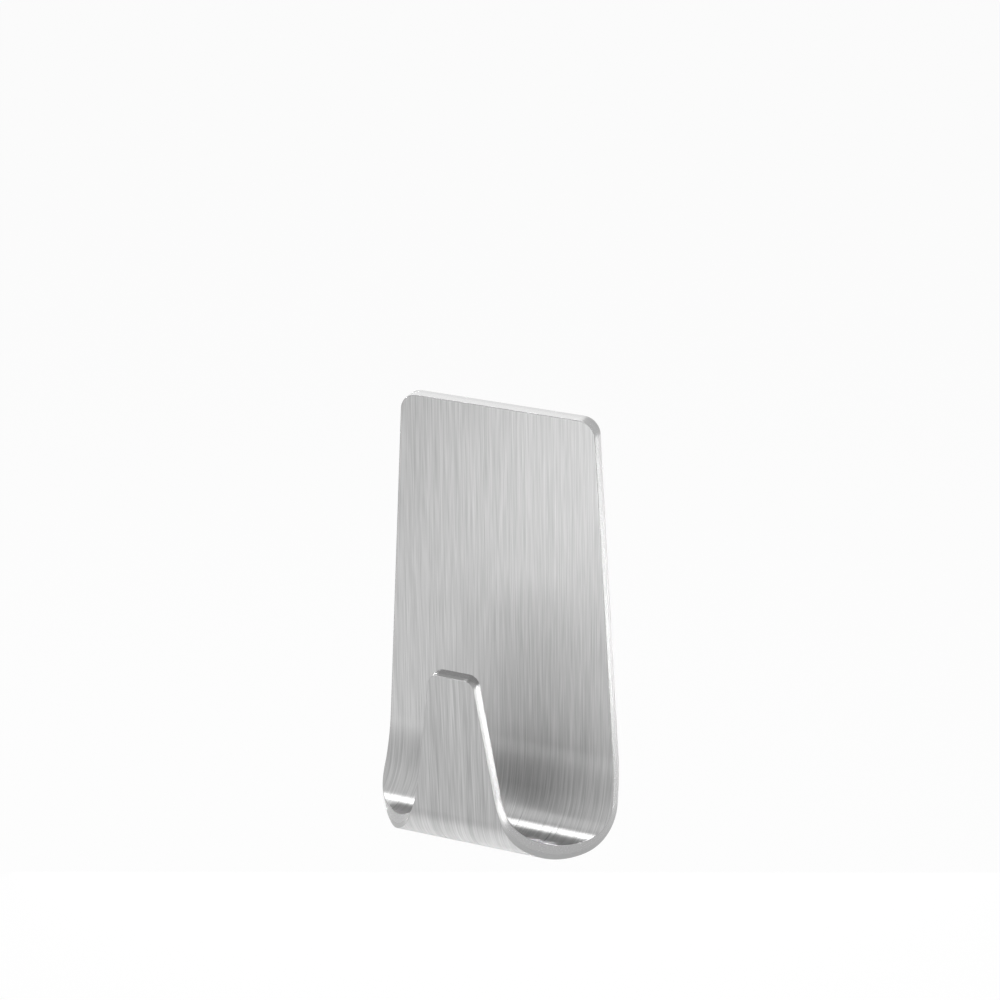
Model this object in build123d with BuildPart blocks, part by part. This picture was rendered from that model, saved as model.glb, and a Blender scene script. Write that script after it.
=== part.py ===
"""Adhesive wall hook: one folded steel sheet on a pad of double-sided tape.

The wall is the plane y = 0 and the hook stands out from it towards -Y, with +Z up. The
origin is the middle of the pad's back. Lengths are in millimetres, angles in degrees.
"""

import os
from math import radians, tan

from build123d import *

# Sheet
sheet_thickness = 1.5

# Plate: the tapered upright, from its top edge down to where it starts to curve
plate_height = 36.7
plate_top_width = 21.2
plate_foot_width = 25.4
plate_corner_radius = 1.8

# Fold: a gentle curve at the plate's foot, then the tight bend, with inside radii
foot_radius = 17.0
foot_angle = 16.7
bend_radius = 4.5

# Tongue: the upturned end, from the end of the bend to the tip
tongue_lean = 3.4
tongue_length = 15.9
tongue_base_width = 9.4
tongue_tip_width = 4.8
tongue_corner_radius = 1.2

# Shoulders: where the sheet narrows from plate to tongue, measured on the flat sheet
shoulder_distance = 8.9
shoulder_slant = 40.0
shoulder_radius = 7.9
waist_radius = 11.7

# Pad: the tape behind the plate, set in from the plate's sides and top
pad_thickness = 0.3
pad_height = 30.5
pad_margin = 0.2
pad_corner_radius = 1.0

# How far a cut reaches past the sheet, and how many cross-sections shape each stretch of it
cut_reach = 1.0
sections_per_stretch = 4


# Places that follow from the sizes
plate_back = -pad_thickness
plate_front = plate_back - sheet_thickness
plate_top = pad_height / 2 + pad_margin
plate_foot = plate_top - plate_height
plate_taper = (plate_foot_width - plate_top_width) / 2 / plate_height
tongue_taper = (tongue_base_width - tongue_tip_width) / 2 / tongue_length
bend_angle = 180 - foot_angle - tongue_lean

# Lengths along the middle of the sheet, which folding doesn't stretch, from the plate's foot
foot_length = radians(foot_angle) * (foot_radius + sheet_thickness / 2)
bend_length = radians(bend_angle) * (bend_radius + sheet_thickness / 2)
fold_length = foot_length + bend_length
tip_distance = fold_length + tongue_length


def plate_half(height):
    """Half the plate's width at a height."""
    return plate_foot_width / 2 - plate_taper * (height - plate_foot)


def tongue_half(distance):
    """Half the tongue's width at a distance along the flat sheet."""
    return tongue_tip_width / 2 + tongue_taper * (tip_distance - distance)


# The fold's inside line in side view: plate, foot curve, bend and tongue
with BuildLine() as inside_line:
    plate_line = Line((plate_front, plate_top), (plate_front, plate_foot))
    foot_arc = JernArc(plate_line @ 1, plate_line % 1, foot_radius, -foot_angle)
    bend_arc = JernArc(foot_arc @ 1, foot_arc % 1, bend_radius, -bend_angle)
    tongue_line = Line(bend_arc @ 1, bend_arc @ 1 + (bend_arc % 1) * tongue_length)


# The flat sheet's right-hand edge below the plate: half width across, distance along
slant_slope = tan(radians(shoulder_slant))
shoulder_half = plate_foot_width / 2 + plate_taper * shoulder_distance
shoulder_step = shoulder_half - tongue_half(shoulder_distance)
waist_distance = shoulder_distance + shoulder_step / (slant_slope - tongue_taper)
strip_half = shoulder_half + cut_reach

with BuildLine() as flat_edge:
    FilletPolyline(
        (plate_half(plate_foot), 0),
        (shoulder_half, shoulder_distance),
        (tongue_half(waist_distance), waist_distance),
        (tongue_half(tip_distance), tip_distance),
        radius=[shoulder_radius, waist_radius],
    )

*curved_stretches, tongue_side = flat_edge.edges().sort_by(Axis.Y)
tongue_cut_start = max((tongue_side @ 0).Y, fold_length)
cut_points = [
    stretch @ (step / sections_per_stretch)
    for stretch in curved_stretches
    for step in range(sections_per_stretch)
]
cut_points.append(Vector(tongue_half(tongue_cut_start), tongue_cut_start))


def square_plane(distance):
    """The plane that stands square to the folded sheet at a distance along it."""
    if distance <= foot_length:
        stretch, share = foot_arc, distance / foot_length
    elif distance <= fold_length:
        stretch, share = bend_arc, (distance - foot_length) / bend_length
    else:
        stretch, share = tongue_line, (distance - fold_length) / tongue_length
    place = stretch @ share
    way = stretch % share
    return Plane(origin=(0, place.X, place.Y), x_dir=(1, 0, 0), z_dir=(0, way.X, way.Y))


tongue_way = tongue_line % 0
tongue_face = Plane(
    origin=square_plane(fold_length).origin,
    x_dir=(1, 0, 0),
    z_dir=(0, -tongue_way.Y, tongue_way.X),
)


# What the outline cuts away from a folded strip of one width: plate, shoulder and tongue sides
with BuildPart() as outline_waste:
    with BuildSketch(Plane.XZ.offset(-plate_back - cut_reach)):
        Polygon(
            (plate_half(plate_foot), plate_foot),
            (strip_half + cut_reach, plate_foot),
            (strip_half + cut_reach, plate_top + cut_reach),
            (plate_half(plate_top + cut_reach), plate_top + cut_reach),
            align=None,
        )
    extrude(amount=sheet_thickness + 2 * cut_reach)
    for point in cut_points:
        with BuildSketch(square_plane(point.Y)):
            with Locations((point.X, cut_reach)):
                Rectangle(
                    strip_half + cut_reach - point.X,
                    sheet_thickness + 2 * cut_reach,
                    align=(Align.MIN, Align.MAX),
                )
    loft()
    with BuildSketch(tongue_face.offset(-cut_reach)):
        Polygon(
            (tongue_half(tongue_cut_start), tongue_cut_start - fold_length),
            (strip_half + cut_reach, tongue_cut_start - fold_length),
            (strip_half + cut_reach, tongue_length + cut_reach),
            (tongue_half(tip_distance + cut_reach), tongue_length + cut_reach),
            align=None,
        )
    extrude(amount=sheet_thickness + 2 * cut_reach)
    mirror(about=Plane.YZ)


# Steel hook
with BuildPart() as steel_hook:
    with BuildSketch(Plane.YZ):
        with BuildLine():
            add(inside_line.line)
            offset(amount=sheet_thickness, side=Side.LEFT)
        make_face()
    extrude(amount=strip_half, both=True)
    add(outline_waste.part, mode=Mode.SUBTRACT)
    top_corners = steel_hook.edges().filter_by(Axis.Y).group_by(Axis.Z)[-1]
    fillet(top_corners, plate_corner_radius)
    tip_corners = steel_hook.edges().filter_by(Axis((0, 0, 0), tongue_face.z_dir)).group_by(Axis.Z)[-1]
    fillet(tip_corners, tongue_corner_radius)
steel_hook.part.label = "steel_hook"


# Adhesive pad
pad_top = plate_top - pad_margin
pad_bottom = pad_top - pad_height
pad_top_half = plate_half(pad_top) - pad_margin
pad_bottom_half = plate_half(pad_bottom) - pad_margin
with BuildPart() as adhesive_pad:
    with BuildSketch(Plane.XZ) as pad_outline:
        Polygon(
            (-pad_bottom_half, pad_bottom),
            (pad_bottom_half, pad_bottom),
            (pad_top_half, pad_top),
            (-pad_top_half, pad_top),
            align=None,
        )
        fillet(pad_outline.vertices().group_by(Axis.Y)[0], pad_corner_radius)
        fillet(pad_outline.vertices().group_by(Axis.Y)[-1], plate_corner_radius - pad_margin)
    extrude(amount=pad_thickness)
adhesive_pad.part.label = "adhesive_pad"


os.makedirs("parts", exist_ok=True)
export_step(steel_hook.part, "parts/steel_hook.step")
export_step(adhesive_pad.part, "parts/adhesive_pad.step")
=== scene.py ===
# %% [markdown]
# # A folded steel hook on a pad of tape
#
# This lesson dresses a small wall hook: one brushed steel sheet, cut to a tapered outline
# and folded into a J, with a thin pad of double-sided tape behind its plate. The solid
# model is loaded first as a fixed frame. Everything that is made here sits in that frame,
# in metres, with the wall at y = 0, the front towards -Y and +Z up.

# %% Load the solid model and keep its box
from math import cos, pi, radians, sin, tan

import bmesh
import bpy
from mathutils import Matrix, Vector


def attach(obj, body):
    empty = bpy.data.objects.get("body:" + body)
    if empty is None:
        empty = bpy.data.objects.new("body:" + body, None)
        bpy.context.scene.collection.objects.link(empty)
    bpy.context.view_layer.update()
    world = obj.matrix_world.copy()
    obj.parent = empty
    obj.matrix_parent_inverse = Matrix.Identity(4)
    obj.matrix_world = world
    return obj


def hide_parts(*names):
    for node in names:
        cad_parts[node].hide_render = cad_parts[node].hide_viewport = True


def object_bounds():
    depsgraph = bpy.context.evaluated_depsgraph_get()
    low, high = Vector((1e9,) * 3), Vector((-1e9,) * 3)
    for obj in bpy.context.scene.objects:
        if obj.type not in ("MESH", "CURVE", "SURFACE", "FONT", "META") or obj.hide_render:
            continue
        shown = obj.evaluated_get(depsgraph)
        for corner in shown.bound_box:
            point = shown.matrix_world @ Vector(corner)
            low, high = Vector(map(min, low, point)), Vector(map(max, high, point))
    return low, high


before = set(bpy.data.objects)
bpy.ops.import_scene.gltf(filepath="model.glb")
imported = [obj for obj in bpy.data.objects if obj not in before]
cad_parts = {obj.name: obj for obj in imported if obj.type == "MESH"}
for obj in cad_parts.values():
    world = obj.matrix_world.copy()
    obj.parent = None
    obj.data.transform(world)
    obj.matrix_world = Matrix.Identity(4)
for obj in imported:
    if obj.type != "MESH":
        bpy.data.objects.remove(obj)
cad_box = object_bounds()
print("CAD box:", [[round(c, 5) for c in corner] for corner in cad_box])

# %% [markdown]
# ## The sizes of the sheet
#
# The hook is easiest to think of as two drawings: the flat blank, which is what the punch
# cuts, and the fold, which is what the press does to it afterwards. The values below are
# the solid model's own, so the new hook lands exactly where the old one stands. Lengths
# along the sheet are measured at the middle of its thickness, because folding stretches
# the outside and squeezes the inside but leaves the middle as long as it was.

# %% Sizes of the sheet, the fold and the outline
MM = 0.001
sheet_thickness = 1.5 * MM
pad_thickness = 0.3 * MM
pad_height = 30.5 * MM
pad_margin = 0.2 * MM
pad_corner = 1.0 * MM

plate_height = 36.7 * MM
plate_top_width = 21.2 * MM
plate_foot_width = 25.4 * MM
plate_corner = 1.8 * MM

foot_radius = 17.0 * MM
foot_angle = radians(16.7)
bend_radius = 4.5 * MM
tongue_lean = radians(3.4)
bend_angle = radians(180) - foot_angle - tongue_lean

tongue_length = 15.9 * MM
tongue_base_width = 9.4 * MM
tongue_tip_width = 4.8 * MM
tongue_corner = 1.2 * MM

shoulder_distance = 8.9 * MM
shoulder_slant = radians(40)
shoulder_radius = 7.9 * MM
waist_radius = 11.7 * MM

plate_front = -pad_thickness - sheet_thickness
plate_top = pad_height / 2 + pad_margin
plate_foot = plate_top - plate_height
foot_length = foot_angle * (foot_radius + sheet_thickness / 2)
bend_length = bend_angle * (bend_radius + sheet_thickness / 2)
fold_length = foot_length + bend_length
tip_distance = fold_length + tongue_length
print(f"flat blank: {(plate_height + tip_distance) / MM:.2f} mm long")

# %% [markdown]
# ## Cutting the blank
#
# The outline has straight sides and round corners, the same on both halves. One way is to
# draw a rectangle and pull its points about, but then the corners are only nearly round.
# Here a single vertex is used like a pen instead. Extruding it draws a straight line, and
# spinning it round a centre draws a true arc. Half the outline is drawn, mirrored, and
# filled with one face. The blank hangs straight down in the plate's plane.

# %% A pen that draws lines and arcs
ARC_STEPS = 32
SAME_PLACE = 0.001 * MM


def pen_to(bm, pen, place):
    """Draws a straight line from the pen to a place, and returns the pen there."""
    drawn = bmesh.ops.extrude_vert_indiv(bm, verts=[pen])
    drawn["verts"][0].co = place
    return drawn["verts"][0]


def pen_round(bm, pen, before, corner, after, radius):
    """Draws up to a corner and round it with an arc that is tangent to both sides."""
    way_in = (corner - before).normalized()
    way_out = (after - corner).normalized()
    axis = way_in.cross(way_out).normalized()
    turn = way_in.angle(way_out)
    start = corner - way_in * radius * tan(turn / 2)
    pen = pen_to(bm, pen, start)
    centre = start + axis.cross(way_in) * radius
    arc = bmesh.ops.spin(
        bm, geom=[pen], cent=centre, axis=axis, angle=turn, steps=ARC_STEPS
    )
    return next(e for e in arc["geom_last"] if isinstance(e, bmesh.types.BMVert))


print("pen ready, with", ARC_STEPS, "steps to an arc")

# %% Draw, mirror and fill the blank
def on_blank(across, along):
    """A place on the blank's front: half width across, and distance below the plate's foot."""
    return Vector((across, plate_front, plate_foot - along))


plate_taper = (plate_foot_width - plate_top_width) / 2 / plate_height
tongue_taper = (tongue_base_width - tongue_tip_width) / 2 / tongue_length
tongue_tip_half = tongue_tip_width / 2
shoulder_half = plate_foot_width / 2 + plate_taper * shoulder_distance
tongue_there = tongue_tip_half + tongue_taper * (tip_distance - shoulder_distance)
slant_length = (shoulder_half - tongue_there) / (tan(shoulder_slant) - tongue_taper)
waist_distance = shoulder_distance + slant_length
waist_half = tongue_tip_half + tongue_taper * (tip_distance - waist_distance)

corners = [
    on_blank(0, -plate_height),
    on_blank(plate_top_width / 2, -plate_height),
    on_blank(shoulder_half, shoulder_distance),
    on_blank(waist_half, waist_distance),
    on_blank(tongue_tip_half, tip_distance),
    on_blank(0, tip_distance),
]
corner_radii = [plate_corner, shoulder_radius, waist_radius, tongue_corner]

blank = bmesh.new()
pen = blank.verts.new(corners[0])
for before, corner, after, radius in zip(corners, corners[1:], corners[2:], corner_radii):
    pen = pen_round(blank, pen, before, corner, after, radius)
pen_to(blank, pen, corners[-1])
bmesh.ops.mirror(
    blank, geom=blank.verts[:] + blank.edges[:], merge_dist=SAME_PLACE, axis="X"
)
bmesh.ops.contextual_create(blank, geom=blank.edges[:])
print("outline:", len(blank.edges), "edges,", len(blank.faces), "face")

# %% [markdown]
# ## Scoring the blank where it will bend
#
# A face can only bend at its edges, so the blank is sliced into narrow rows across the
# stretch that gets folded: a few rows for the gentle curve at the plate's foot, many for
# the tight bend. The slices leave the outline's own arc points between them, and those
# would twist the rows, so they are dissolved.

# %% Slice the fold's stretch into rows
FOOT_ROWS = 8
BEND_ROWS = 64
ON_THE_LINE = 0.0001 * MM


def slice_across(bm, along):
    """Cuts everything along a level line, at a distance below the plate's foot."""
    everything = bm.verts[:] + bm.edges[:] + bm.faces[:]
    bmesh.ops.bisect_plane(
        bm, geom=everything, dist=ON_THE_LINE, plane_co=on_blank(0, along), plane_no=(0, 0, 1)
    )


rows = [foot_length * step / FOOT_ROWS for step in range(FOOT_ROWS)]
rows += [foot_length + bend_length * step / BEND_ROWS for step in range(BEND_ROWS + 1)]
for along in rows:
    slice_across(blank, along)

between_rows = [
    vert
    for vert in blank.verts
    if 0 < plate_foot - vert.co.z < fold_length and len(vert.link_edges) == 2
]
bmesh.ops.dissolve_verts(blank, verts=between_rows)
print("rows:", len(rows), "faces:", len(blank.faces))

# %% [markdown]
# ## Thickness and rounded rims
#
# Extruding the blank gives it the sheet's thickness. A punched edge is never a knife edge:
# the punch drags the near rim into a small round, and deburring takes the sharpness off
# the far one. Both rims get a bevel here, the near one larger, because such rounds catch
# the light along the edges of a real sheet.

# %% Thicken the blank and round its rims
PUNCH_ROUND = 0.08 * MM
BURR_ROUND = 0.06 * MM
RIM_SEGMENTS = 4
CUT_SIDE = 0.5


def thicken(bm, depth):
    """Extrudes a flat face into a slab along Y, with its faces turned outwards."""
    slab = bmesh.ops.extrude_face_region(bm, geom=bm.faces[:])
    moved = [e for e in slab["geom"] if isinstance(e, bmesh.types.BMVert)]
    bmesh.ops.translate(bm, verts=moved, vec=(0, depth, 0))
    bmesh.ops.recalc_face_normals(bm, faces=bm.faces[:])


def rim_edges(bm, level):
    """The edges round the blank's outline at a level of y, between a face and a cut side."""
    return [
        edge
        for edge in bm.edges
        if all(abs(v.co.y - level) < SAME_PLACE for v in edge.verts)
        and any(abs(f.normal.y) < CUT_SIDE for f in edge.link_faces)
    ]


def round_rim(bm, level, size):
    """Rounds the rim at a level of y."""
    rim = rim_edges(bm, level)
    bmesh.ops.bevel(
        bm, geom=rim, offset=size, offset_type="OFFSET", segments=RIM_SEGMENTS,
        profile=0.5, affect="EDGES", material=-1,
    )
    return len(rim)


thicken(blank, sheet_thickness)
front_rim = round_rim(blank, plate_front, PUNCH_ROUND)
back_rim = round_rim(blank, plate_front + sheet_thickness, BURR_ROUND)
print("rims:", front_rim, "front and", back_rim, "back edges rounded")

# %% [markdown]
# ## Marking the flat place of every point
#
# Brushing is done on the flat sheet, before it is folded, so its lines run along the blank
# and go round the bend with the steel. A pattern on plain object coordinates would not
# bend. So every vertex remembers where it lay on the flat blank, in millimetres: x across,
# y the depth from the front face, z the height. The materials read that as an attribute.
# The cut sides and rims also get a second material slot, as they were never brushed.

# %% Remember the flat place, and tell cut sides from brushed faces
BRUSHED = 0
CUT = 1
FLAT_FACE = 0.999
flat = blank.verts.layers.float_vector.new("flat")
for vert in blank.verts:
    vert[flat] = Vector((vert.co.x, vert.co.y - plate_front, vert.co.z)) / MM
for face in blank.faces:
    face.smooth = True
    face.material_index = BRUSHED if abs(face.normal.y) > FLAT_FACE else CUT
print("cut faces:", sum(face.material_index == CUT for face in blank.faces))

# %% [markdown]
# ## Folding
#
# Folding is rolling the sheet round a bar. Each point past the bend line slides back along
# the sheet to that line, then turns about the bar's axis by the angle that its distance
# makes at the middle of the sheet. Points past the whole bend slide by its full length and
# turn by its full angle, so the tongue stays flat. The far bend is rolled first, while all
# is flat, and the gentle curve at the plate's foot then carries it along.

# %% Roll the sheet round the bend and then round the foot
def roll(bm, line, radius, angle):
    """Rolls all that lies past a line on the blank forward round a bar of some radius."""
    axis = on_blank(0, line) + Vector((0, -radius, 0))
    middle = radius + sheet_thickness / 2
    for vert in bm.verts:
        past = plate_foot - vert[flat].z * MM - line
        if past > 0:
            slide = min(past, angle * middle)
            lifted = vert.co + Vector((0, 0, slide)) - axis
            vert.co = axis + Matrix.Rotation(-slide / middle, 3, "X") @ lifted


roll(blank, foot_length, bend_radius, bend_angle)
roll(blank, 0, foot_radius, foot_angle)
bmesh.ops.recalc_face_normals(blank, faces=blank.faces[:])
low_front = min(vert.co.y for vert in blank.verts)
low_end = min(vert.co.z for vert in blank.verts)
print(f"folded: reaches y {low_front / MM:.3f} and z {low_end / MM:.3f} mm")

# %% [markdown]
# ## The finished mesh
#
# The bmesh becomes a mesh object at the origin. Smooth shading across a round as small as
# the rim's would tilt the light on the whole plate, so a Weighted Normal modifier lets the
# largest face at each point decide. It is applied at once, so the piece keeps no live
# modifier. The mesh's texture space is set far behind the hook, because the renderer takes
# the brushing's cross direction from it: seen from so far off, that is X on every face.

# %% Make the hook's object
def new_piece(name, bm, slots):
    """Turns a bmesh into an object at the origin that wears some materials."""
    mesh = bpy.data.meshes.new(name)
    bm.to_mesh(mesh)
    bm.free()
    for material in slots:
        mesh.materials.append(material)
    piece = bpy.data.objects.new(name, mesh)
    bpy.context.scene.collection.objects.link(piece)
    return piece


def settle_normals(piece):
    """Lets the largest face at each point set the shading there, and keeps the result."""
    weigh = piece.modifiers.new("even faces", "WEIGHTED_NORMAL")
    weigh.keep_sharp = True
    scene_graph = bpy.context.evaluated_depsgraph_get()
    settled = bpy.data.meshes.new_from_object(piece.evaluated_get(scene_graph))
    piece.modifiers.clear()
    old = piece.data
    piece.data = settled
    bpy.data.meshes.remove(old)
    settled.name = piece.name


hook = new_piece("folded_hook", blank, [])
settle_normals(hook)
hook.data.use_auto_texspace = False
hook.data.texspace_location = (0, 1, 0)
hook.data.texspace_size = (1, 1, 1)
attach(hook, "root")
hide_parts("steel_hook")
print("hook:", len(hook.data.polygons), "faces")

# %% [markdown]
# ## The pad of tape
#
# The tape is a die-cut slab of foam, 0.3 mm thick and a little smaller than the plate.
# Its outline is a tapered quad with its corners rounded by a vertex bevel. Foam bulges
# where it is pressed, so the slab's edge keeps its full width at the middle layer and is
# drawn in a little towards both faces.

# %% Cut the pad
PAD_CORNER_STEPS = 8


def plate_half(height):
    """Half the plate's width at a height."""
    return plate_foot_width / 2 - plate_taper * (height - plate_foot)


pad_top = plate_top - pad_margin
pad_bottom = pad_top - pad_height
pad = bmesh.new()
ends = [(pad_bottom, pad_corner), (pad_top, plate_corner - pad_margin)]
outline = [
    pad.verts.new((side * (plate_half(height) - pad_margin), 0, height))
    for height, side in [(pad_bottom, -1), (pad_bottom, 1), (pad_top, 1), (pad_top, -1)]
]
pad.faces.new(outline)
for height, size in ends:
    round_here = [v for v in pad.verts if abs(v.co.z - height) < SAME_PLACE]
    bmesh.ops.bevel(
        pad, geom=round_here, offset=size, offset_type="OFFSET", segments=PAD_CORNER_STEPS,
        profile=0.5, affect="VERTICES", material=-1,
    )
print("pad outline:", len(pad.verts), "points")

# %% Thicken the pad and let its edge bulge
PAD_BULGE = 0.05 * MM
PAD_LAYERS = 3
AT_THE_EDGE = 0.1

thicken(pad, -pad_thickness)
walls = [e for e in pad.edges if abs(e.verts[0].co.y - e.verts[1].co.y) > pad_thickness / 2]
bmesh.ops.subdivide_edges(pad, edges=walls, cuts=PAD_LAYERS, use_grid_fill=True)
pad.normal_update()
for vert in pad.verts:
    depth = -vert.co.y / pad_thickness
    swell = 4 * depth * (1 - depth) - 1
    outward = Vector((vert.normal.x, 0, vert.normal.z))
    if outward.length > AT_THE_EDGE:
        vert.co += outward.normalized() * PAD_BULGE * swell
print("pad:", len(pad.faces), "faces")

# %% [markdown]
# ## A small language for shader nodes
#
# Node materials are graphs, but most of a finish is arithmetic: a little more here, times
# a mask there. The class below wraps one output of a node, and its operators add Math
# nodes, so that a finish reads like a formula. Any other node comes from one method, which
# sets the node's settings first and then fills its sockets.

# %% Wires and finishes
class Wire:
    """One output of a shader node. Arithmetic on it adds Math nodes."""

    def __init__(self, finish, socket):
        self.finish = finish
        self.socket = socket

    def __add__(self, other):
        return self.finish.math("ADD", self, other)

    def __sub__(self, other):
        return self.finish.math("SUBTRACT", self, other)

    def __rsub__(self, other):
        return self.finish.math("SUBTRACT", other, self)

    def __mul__(self, other):
        return self.finish.math("MULTIPLY", self, other)

    __radd__ = __add__
    __rmul__ = __mul__


class Finish:
    """A node tree that is being written."""

    def __init__(self, tree):
        self.tree = tree
        tree.nodes.clear()

    def node(self, kind, settings=(), sockets=(), output=0):
        """Adds a node, sets its settings, fills its sockets and returns one output."""
        made = self.tree.nodes.new(kind)
        for name, value in dict(settings).items():
            setattr(made, name, value)
        for key, value in dict(sockets).items():
            self.plug(made.inputs[key], value)
        return Wire(self, made.outputs[output]) if made.outputs else None

    def plug(self, socket, value):
        """Links a wire to a socket, or sets a plain value on it."""
        if isinstance(value, Wire):
            self.tree.links.new(value.socket, socket)
        else:
            socket.default_value = value

    def math(self, operation, *values):
        """Adds a Math node."""
        return self.node("ShaderNodeMath", {"operation": operation}, enumerate(values))

    def blend(self, share, one, other):
        """A colour between two colours."""
        sockets = {0: share, 6: one, 7: other}
        return self.node("ShaderNodeMix", {"data_type": "RGBA"}, sockets, output=2)

    def noise(self, place, **sockets):
        """A noise value from 0 to 1 at a place."""
        return self.node("ShaderNodeTexNoise", {}, {"Vector": place, **sockets})

    def stretch(self, place, across, deep, along):
        """A place scaled by its own factor in each direction."""
        factors = {0: place, 1: (across, deep, along)}
        return self.node("ShaderNodeVectorMath", {"operation": "MULTIPLY"}, factors)

    def smooth_step(self, value, start, end):
        """0 below start, 1 above end and a smooth rise between."""
        settings = {"interpolation_type": "SMOOTHSTEP"}
        sockets = {"Value": value, "From Min": start, "From Max": end}
        return self.node("ShaderNodeMapRange", settings, sockets)


def new_material(name):
    """A material with an empty tree, ready to be written."""
    material = bpy.data.materials.new(name)
    material.use_nodes = True
    return material, Finish(material.node_tree)


def close(finish, shader):
    """Ends a tree in its output."""
    finish.node("ShaderNodeOutputMaterial", {}, {"Surface": shader})


def grey(level):
    """A neutral grey as a colour."""
    return (level, level, level, 1)


print("shader language ready")

# %% [markdown]
# ## Brushed steel
#
# A brushed sheet is a mirror that has been scratched in one direction. The scratches are
# too fine to see one by one, but they smear reflections across the grain, which is what
# the shader's anisotropy does. What can be seen are bundles of scratches, as faint light
# and dark streaks a tenth to a third of a millimetre wide, and fainter bands of about two
# millimetres. Three layers of stretched noise make them, and they vary the colour, the
# roughness and a very shallow bump together. Where the bending bar pressed the sheet it is
# a little smoother, so the lines of light in the trough are sharper than on the plate.

# %% Streaks along the sheet, and where it was bent
STREAK_NOISE = 0.6
DEPTH_SCALE = 1.7
BEND_LEAD = 1.0
BEND_FADE = 4.0


def flat_place(finish):
    """Where a point lay on the flat blank, in millimetres."""
    settings = {"attribute_type": "GEOMETRY", "attribute_name": "flat"}
    return finish.node("ShaderNodeAttribute", settings, output="Vector")


def streaks(finish, place, width, length, detail):
    """Streaks of about some width and length in millimetres, from -1 to 1."""
    stretched = finish.stretch(place, 1 / width, DEPTH_SCALE, 1 / length)
    value = finish.noise(stretched, Scale=1.0, Detail=detail, Roughness=STREAK_NOISE)
    return (value - 0.5) * 2


def bend_mask(finish, place):
    """1 on the tight bend, and 0 on the plate and the tongue, with soft ends."""
    height = finish.node("ShaderNodeSeparateXYZ", {}, {0: place}, output="Z")
    start = (plate_foot - foot_length) / MM + BEND_LEAD
    end = (plate_foot - fold_length) / MM
    past_foot = 1 - finish.smooth_step(height, start - BEND_FADE, start)
    past_bend = 1 - finish.smooth_step(height, end, end + BEND_FADE)
    return past_foot - past_bend


print("streaks are laid on the flat blank, and the bend's mask fades over", BEND_FADE, "mm")

# %% The brushed finish
STEEL = 0.465
DARK_STREAK = 0.76
BRIGHT_STREAK = 1.22
STREAK_RANGE = 0.45
FINE_SHARE = 0.45
BAND_SHARE = 0.1
STEEL_ROUGHNESS = 0.45
STREAK_ROUGHNESS = 0.10
STEEL_ANISOTROPY = 0.75
BEND_POLISH = 0.15
STREAK_DEPTH = 0.008 * MM
STREAK_RELIEF = 0.6
BEND_RELIEF_LOSS = 0.4


def brushed_finish():
    """Steel with brushing along the blank, smoother where the bending bar pressed it."""
    material, finish = new_material("brushed_steel_face")
    place = flat_place(finish)
    hair = streaks(finish, place, width=0.12, length=6.0, detail=1.0)
    line = streaks(finish, place, width=0.28, length=14.0, detail=2.0)
    band = streaks(finish, place, width=2.20, length=60.0, detail=2.0)
    streak = hair * FINE_SHARE + line * FINE_SHARE + band * BAND_SHARE
    tone = finish.smooth_step(streak, -STREAK_RANGE, STREAK_RANGE)
    bend = bend_mask(finish, place)
    relief = STREAK_RELIEF - BEND_RELIEF_LOSS * bend
    bump_sockets = {"Height": streak, "Distance": STREAK_DEPTH, "Strength": relief}
    dark = grey(STEEL * DARK_STREAK)
    bright = grey(STEEL * BRIGHT_STREAK)
    shader = finish.node(
        "ShaderNodeBsdfPrincipled",
        {},
        {
            "Base Color": finish.blend(tone, dark, bright),
            "Metallic": 1.0,
            "Roughness": STEEL_ROUGHNESS + STREAK_ROUGHNESS * streak - BEND_POLISH * bend,
            "Anisotropic": STEEL_ANISOTROPY,
            "Normal": finish.node("ShaderNodeBump", {}, bump_sockets),
        },
    )
    close(finish, shader)
    return material


hook.data.materials.append(brushed_finish())
print("the hook's faces wear", hook.data.materials[BRUSHED].name)

# %% [markdown]
# ## The cut sides
#
# A punched side has two zones. Next to the face that the punch met, the steel was sheared
# and is burnished bright. Past about two thirds of the depth it tore, and stays a little
# rougher. The line between them wanders, and the colour is darker in dots along it. The
# depth from the flat place tells where a point is, and noise along the side moves the line.

# %% The cut finish
SHEARED = 0.42
TORN = 0.395
# the grey of the darker dots that lie along the line where the shearing ends
DARK_DOT_GREY = 0.30
DARK_DOT_SHARE = 0.6
TEAR_DEPTH = 0.94
TEAR_STEP = 0.04
TEAR_LINE = 0.08
TEAR_WANDER = 0.12
WANDER_SCALE = 1.6
SPECKLE_SCALE = 7.0
SPECKLE_DEPTH_SCALE = 9.0
DOT_START = 0.42
DOT_END = 0.60
CUT_ROUGHNESS = 0.26
TORN_ROUGHNESS = 0.06
SPECKLE_ROUGHNESS = 0.08
SPECKLE_DEPTH = 0.006 * MM
SPECKLE_RELIEF = 0.4


def tear_masks(finish, place):
    """1 past the wandering line where the shearing ends, and 1 just along that line."""
    wander_place = finish.stretch(place, WANDER_SCALE, 0.0, WANDER_SCALE)
    wander = finish.noise(wander_place, Scale=1.0, Detail=3.0)
    straight_depth = finish.node("ShaderNodeSeparateXYZ", {}, {0: place}, output="Y")
    depth = straight_depth + (wander - 0.5) * TEAR_WANDER
    line_start = TEAR_DEPTH + TEAR_STEP
    torn = finish.smooth_step(depth, TEAR_DEPTH, line_start)
    line = torn * (1 - finish.smooth_step(depth, line_start, line_start + TEAR_LINE))
    return torn, line


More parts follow.
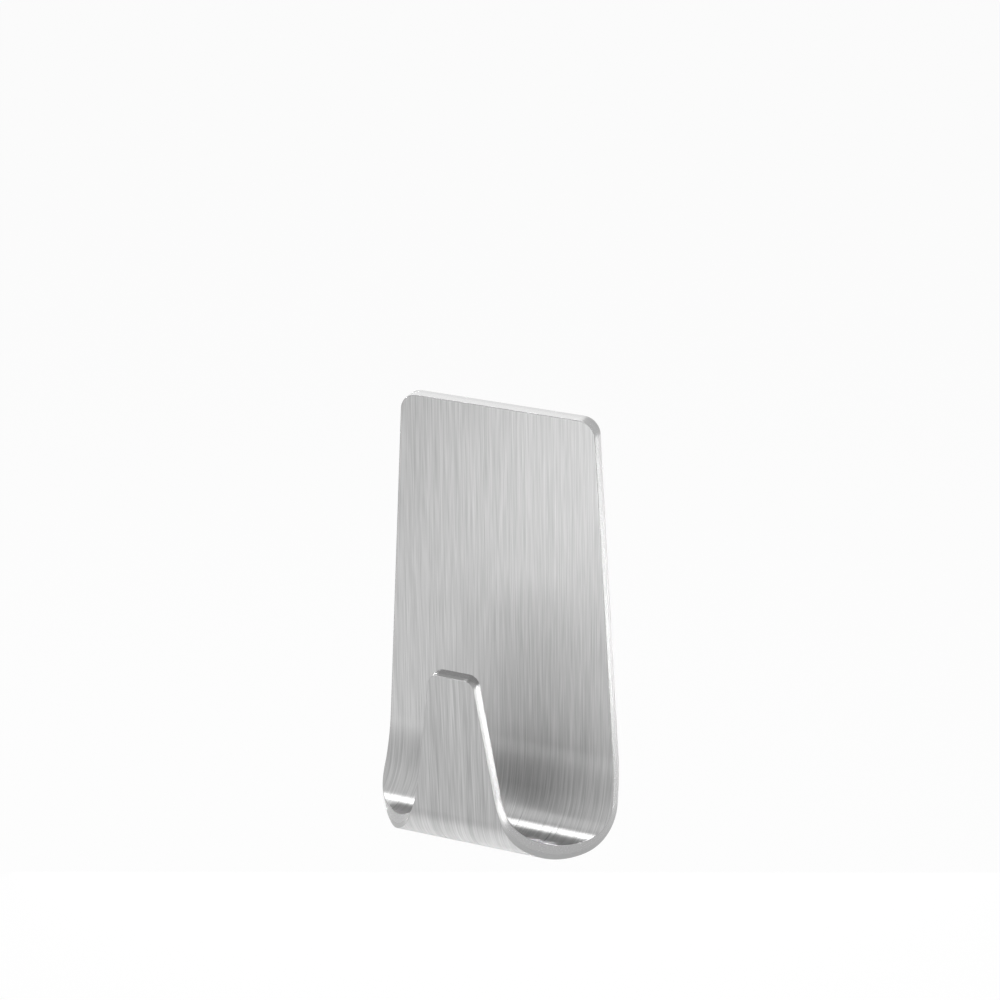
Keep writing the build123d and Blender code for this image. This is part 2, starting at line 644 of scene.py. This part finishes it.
def cut_finish():
    """The sheared sides: burnished near the front, torn towards the back."""
    material, finish = new_material("cut_steel_side")
    place = flat_place(finish)
    torn, line = tear_masks(finish, place)
    speckle_place = finish.stretch(place, SPECKLE_SCALE, SPECKLE_DEPTH_SCALE, SPECKLE_SCALE)
    speckle = finish.noise(speckle_place, Scale=1.0, Detail=2.0)
    # darker dots in the colour, along the line where the shearing ends
    dark_dots = line * finish.smooth_step(speckle, DOT_START, DOT_END)
    clean = finish.blend(torn, grey(SHEARED), grey(TORN))
    roughness = CUT_ROUGHNESS + TORN_ROUGHNESS * torn + SPECKLE_ROUGHNESS * (speckle - 0.5)
    bump_sockets = {"Height": speckle, "Distance": SPECKLE_DEPTH, "Strength": SPECKLE_RELIEF}
    shader = finish.node(
        "ShaderNodeBsdfPrincipled",
        {},
        {
            "Base Color": finish.blend(dark_dots * DARK_DOT_SHARE, clean, grey(DARK_DOT_GREY)),
            "Metallic": 1.0,
            "Roughness": roughness,
            "Normal": finish.node("ShaderNodeBump", {}, bump_sockets),
        },
    )
    close(finish, shader)
    return material


hook.data.materials.append(cut_finish())
print("its cut sides wear", hook.data.materials[CUT].name)

# %% [markdown]
# ## The tape
#
# Foam tape is pale and matt, with fine cells that show as tiny pits, and its tacky face
# has a slight gloss of its own. A Voronoi pattern gives the cells, and two noises give such
# foam's clouding.

# %% The foam finish
FOAM_DARK = (0.70, 0.70, 0.68, 1)
FOAM_PALE = (0.80, 0.80, 0.78, 1)
CELL_SCALE = 4500.0
CLOUD_SCALE = 260.0
FINE_SCALE = 2600.0
CLOUD_SHARE = 0.6
CELL_SHARE = 0.7
TONE_START = 0.3
TONE_END = 0.7
FOAM_ROUGHNESS = 0.55
FINE_ROUGHNESS = 0.2
CELL_DEPTH = 0.03 * MM
CELL_RELIEF = 0.5


def foam_finish():
    """Pale closed-cell foam with a tacky skin."""
    material, finish = new_material("foam_tape")
    place = finish.node("ShaderNodeTexCoord", {}, output="Object")
    cell_sockets = {"Vector": place, "Scale": CELL_SCALE}
    cells = finish.node("ShaderNodeTexVoronoi", {"feature": "F1"}, cell_sockets)
    cloud = finish.noise(place, Scale=CLOUD_SCALE, Detail=4.0)
    fine = finish.noise(place, Scale=FINE_SCALE, Detail=3.0)
    clouding = cloud * CLOUD_SHARE + fine * (1 - CLOUD_SHARE)
    tone = finish.smooth_step(clouding, TONE_START, TONE_END)
    height = cells * CELL_SHARE + fine * (1 - CELL_SHARE)
    bump_sockets = {"Height": height, "Distance": CELL_DEPTH, "Strength": CELL_RELIEF}
    shader = finish.node(
        "ShaderNodeBsdfPrincipled",
        {},
        {
            "Base Color": finish.blend(tone, FOAM_DARK, FOAM_PALE),
            "Roughness": FOAM_ROUGHNESS + FINE_ROUGHNESS * (fine - 0.5),
            "Normal": finish.node("ShaderNodeBump", {}, bump_sockets),
        },
    )
    close(finish, shader)
    return material


tape = new_piece("foam_pad", pad, [foam_finish()])
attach(tape, "root")
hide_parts("adhesive_pad")
print("pad wears:", tape.data.materials[0].name)

# %% [markdown]
# ## The studio
#
# The picture has a plain white ground, so the world and the floor are white to the camera.
# Brushed steel shows what stands round it, so both are the same white to rays that come by
# way of a mirror or glass. Without that, metal on a white ground would look as if it stood
# in a grey room. The matt tape gets one even, lower level from all round, and the lamps add
# the rest.

# %% World
WHITE = 1.0
ROOM = 0.69


def ray_kinds(finish):
    """1 for rays straight from the camera, and 1 for rays by way of a mirror or glass."""
    straight, mirrored, through = [
        finish.node("ShaderNodeLightPath", {}, output=kind)
        for kind in ("Is Camera Ray", "Is Glossy Ray", "Is Transmission Ray")
    ]
    return straight, finish.math("MINIMUM", mirrored + through, 1.0)


world = bpy.data.worlds.new("white_studio")
world.use_nodes = True
bpy.context.scene.world = world
air = Finish(world.node_tree)
straight, mirrored = ray_kinds(air)
glow = ROOM + (straight + mirrored) * (WHITE - ROOM)
backdrop = air.node("ShaderNodeBackground", {}, {"Color": grey(WHITE), "Strength": glow})
air.node("ShaderNodeOutputWorld", {}, {"Surface": backdrop})
print("world: white to camera and mirrors,", ROOM, "to matt surfaces")

# %% [markdown]
# ## The floor
#
# The floor lies well below the hook, as it does below a hook on a wall. It could be plain
# white light to the camera, but then no shadow could fall on it. So a tenth of what the
# camera sees there is the floor's own matt paint. From so high up the hook's shadow is too
# soft to be made out.

# %% Floor
FLOOR_DROP = 100 * MM
FLOOR_SIZE = 4.0
FLOOR_PAINT = 0.92
FLOOR_WHITE = 0.9


def floor_finish():
    """Matt paint that is white to mirrors, and nearly white to the camera."""
    material, finish = new_material("pale_floor")
    matt = finish.node("ShaderNodeBsdfDiffuse", {}, {"Color": grey(FLOOR_PAINT)})
    white = finish.node("ShaderNodeEmission", {}, {"Color": grey(WHITE), "Strength": WHITE})
    straight, mirrored = ray_kinds(finish)
    share = FLOOR_WHITE * straight + mirrored
    close(finish, finish.node("ShaderNodeMixShader", {}, {0: share, 1: matt, 2: white}))
    return material


ground = bmesh.new()
bmesh.ops.create_grid(ground, x_segments=1, y_segments=1, size=FLOOR_SIZE)
bmesh.ops.translate(ground, verts=ground.verts[:], vec=(0, 0, low_end - FLOOR_DROP))
floor = new_piece("floor", ground, [floor_finish()])
print("floor at", round((low_end - FLOOR_DROP) / MM, 1), "mm")

# %% [markdown]
# ## Lamps
#
# The white surroundings light the hook evenly. Lamps add the soft patches and the lines of
# light that the picture has on top of that:
#
# - a back lamp for the top edge, the only one that casts shadows;
# - two spots low at the front left, for the soft highlight that runs over the plate from
#   its upper right to its lower left;
# - a lamp above and behind that draws the white line in the trough;
# - a small lamp behind at the right for the tongue's cut side;
# - a low one behind for the tongue's inner face, which the plate mirrors;
# - one underneath for the underside of the bend.
#
# In the picture the hook's surfaces hardly shade each other. So all but the back lamp shine
# through what stands in their way, and most light only what the camera sees directly.

# %% Kinds of lamp
SPOT_SIZE = 15 * MM


def soft_lamp(name, size, glow):
    """A flat lamp of some size whose face glows at a level."""
    lamp = bpy.data.lights.new(name, "AREA")
    lamp.shape = "RECTANGLE"
    lamp.size, lamp.size_y = size
    lamp.energy = glow * pi * lamp.size * lamp.size_y
    return lamp


def spot_lamp(name, angle, power):
    """A lamp whose light fades evenly from the middle of its cone to the rim."""
    lamp = bpy.data.lights.new(name, "SPOT")
    lamp.spot_size = radians(angle)
    lamp.spot_blend = 1
    lamp.shadow_soft_size = SPOT_SIZE
    lamp.energy = power
    return lamp


def stand(lamp, aim, azimuth, elevation, distance):
    """Stands a lamp in a direction from a place, so that it faces that place."""
    a, e = radians(azimuth), radians(elevation)
    way = Vector((sin(a) * cos(e), -cos(a) * cos(e), sin(e)))
    holder = bpy.data.objects.new(lamp.name, lamp)
    holder.location = aim + way * distance
    holder.rotation_euler = way.to_track_quat("Z", "Y").to_euler()
    holder.visible_camera = False
    bpy.context.scene.collection.objects.link(holder)


def shine_through(lamp, bounces):
    """Lets a lamp cast no shadow, and light only what is seen within so many bounces."""
    lamp.use_shadow = False
    lamp.cycles.use_multiple_importance_sampling = False
    lamp.cycles.max_bounces = bounces


print("two kinds of lamp ready, soft lamps and spots")

# %% Stand the lamps
SPOT_BEYOND = 13 * MM
SPOT_MARGIN = 1 * MM
TROUGH_LAMP_SHIFT = 110 * MM

middle = (cad_box[0] + cad_box[1]) / 2
top_right = on_blank(plate_top_width / 2 + SPOT_BEYOND, -SPOT_MARGIN - plate_height)
low_left = on_blank(-plate_foot_width / 2 - SPOT_MARGIN, 0)
tongue_side = Vector((tongue_tip_half, low_front, low_end + tongue_length))
over_left = middle + Vector((-TROUGH_LAMP_SHIFT, 0, 0))

back_lamp = soft_lamp("back_lamp", size=(0.20, 0.20), glow=0.70)
right_spot = spot_lamp("right_spot", angle=15, power=0.32)
left_spot = spot_lamp("left_spot", angle=12, power=0.17)
trough_lamp = soft_lamp("trough_lamp", size=(0.24, 0.105), glow=3.0)
edge_lamp = soft_lamp("edge_lamp", size=(0.05, 0.05), glow=3.9)
low_lamp = soft_lamp("low_lamp", size=(0.16, 0.16), glow=0.90)
under_lamp = soft_lamp("under_lamp", size=(0.10, 0.10), glow=0.42)

stand(back_lamp, middle, azimuth=212, elevation=25, distance=0.30)
stand(right_spot, top_right, azimuth=-20, elevation=-23, distance=0.30)
stand(left_spot, low_left, azimuth=-20, elevation=-24, distance=0.30)
stand(trough_lamp, over_left, azimuth=180, elevation=65, distance=0.30)
stand(edge_lamp, tongue_side, azimuth=143, elevation=-15, distance=0.20)
stand(low_lamp, middle, azimuth=203, elevation=-17, distance=0.20)
stand(under_lamp, middle, azimuth=-24, elevation=-84, distance=0.10)
for lamp in (right_spot, left_spot, trough_lamp, edge_lamp, under_lamp):
    shine_through(lamp, bounces=0)
shine_through(low_lamp, bounces=1)

# %% [markdown]
# ## The camera
#
# The camera stands a little to the right of the hook and above it, far away with a long
# lens, so the sides hardly converge. Its place and lens were found by fitting a pinhole
# camera to the picture's edges. The fit also found a slight roll.

# %% Camera
VIEW_AZIMUTH = radians(24.395)
VIEW_ELEVATION = radians(23.341)
VIEW_ROLL = radians(-0.640)
VIEW_DISTANCE = 369.76 * MM
VIEW_TARGET = Vector((-0.553, 0, 4.568)) * MM
LENS = 130.67
SENSOR = 36
NEAREST = 0.01
FARTHEST = 20

backward = Vector(
    (
        sin(VIEW_AZIMUTH) * cos(VIEW_ELEVATION),
        -cos(VIEW_AZIMUTH) * cos(VIEW_ELEVATION),
        sin(VIEW_ELEVATION),
    )
)
level = Vector((cos(VIEW_AZIMUTH), sin(VIEW_AZIMUTH), 0))
upward = backward.cross(level)
right = level * cos(VIEW_ROLL) + upward * sin(VIEW_ROLL)
up = upward * cos(VIEW_ROLL) - level * sin(VIEW_ROLL)

lens = bpy.data.cameras.new("photo_camera")
lens.lens = LENS
lens.sensor_width = SENSOR
lens.clip_start = NEAREST
lens.clip_end = FARTHEST
camera = bpy.data.objects.new("photo_camera", lens)
camera.matrix_world = Matrix.Translation(VIEW_TARGET + backward * VIEW_DISTANCE) @ (
    Matrix((right, up, backward)).transposed().to_4x4()
)
bpy.context.scene.collection.objects.link(camera)
bpy.context.scene.camera = camera
bpy.context.scene.view_settings.view_transform = "Standard"
print("camera at", [round(c / MM, 1) for c in camera.matrix_world.translation], "mm")
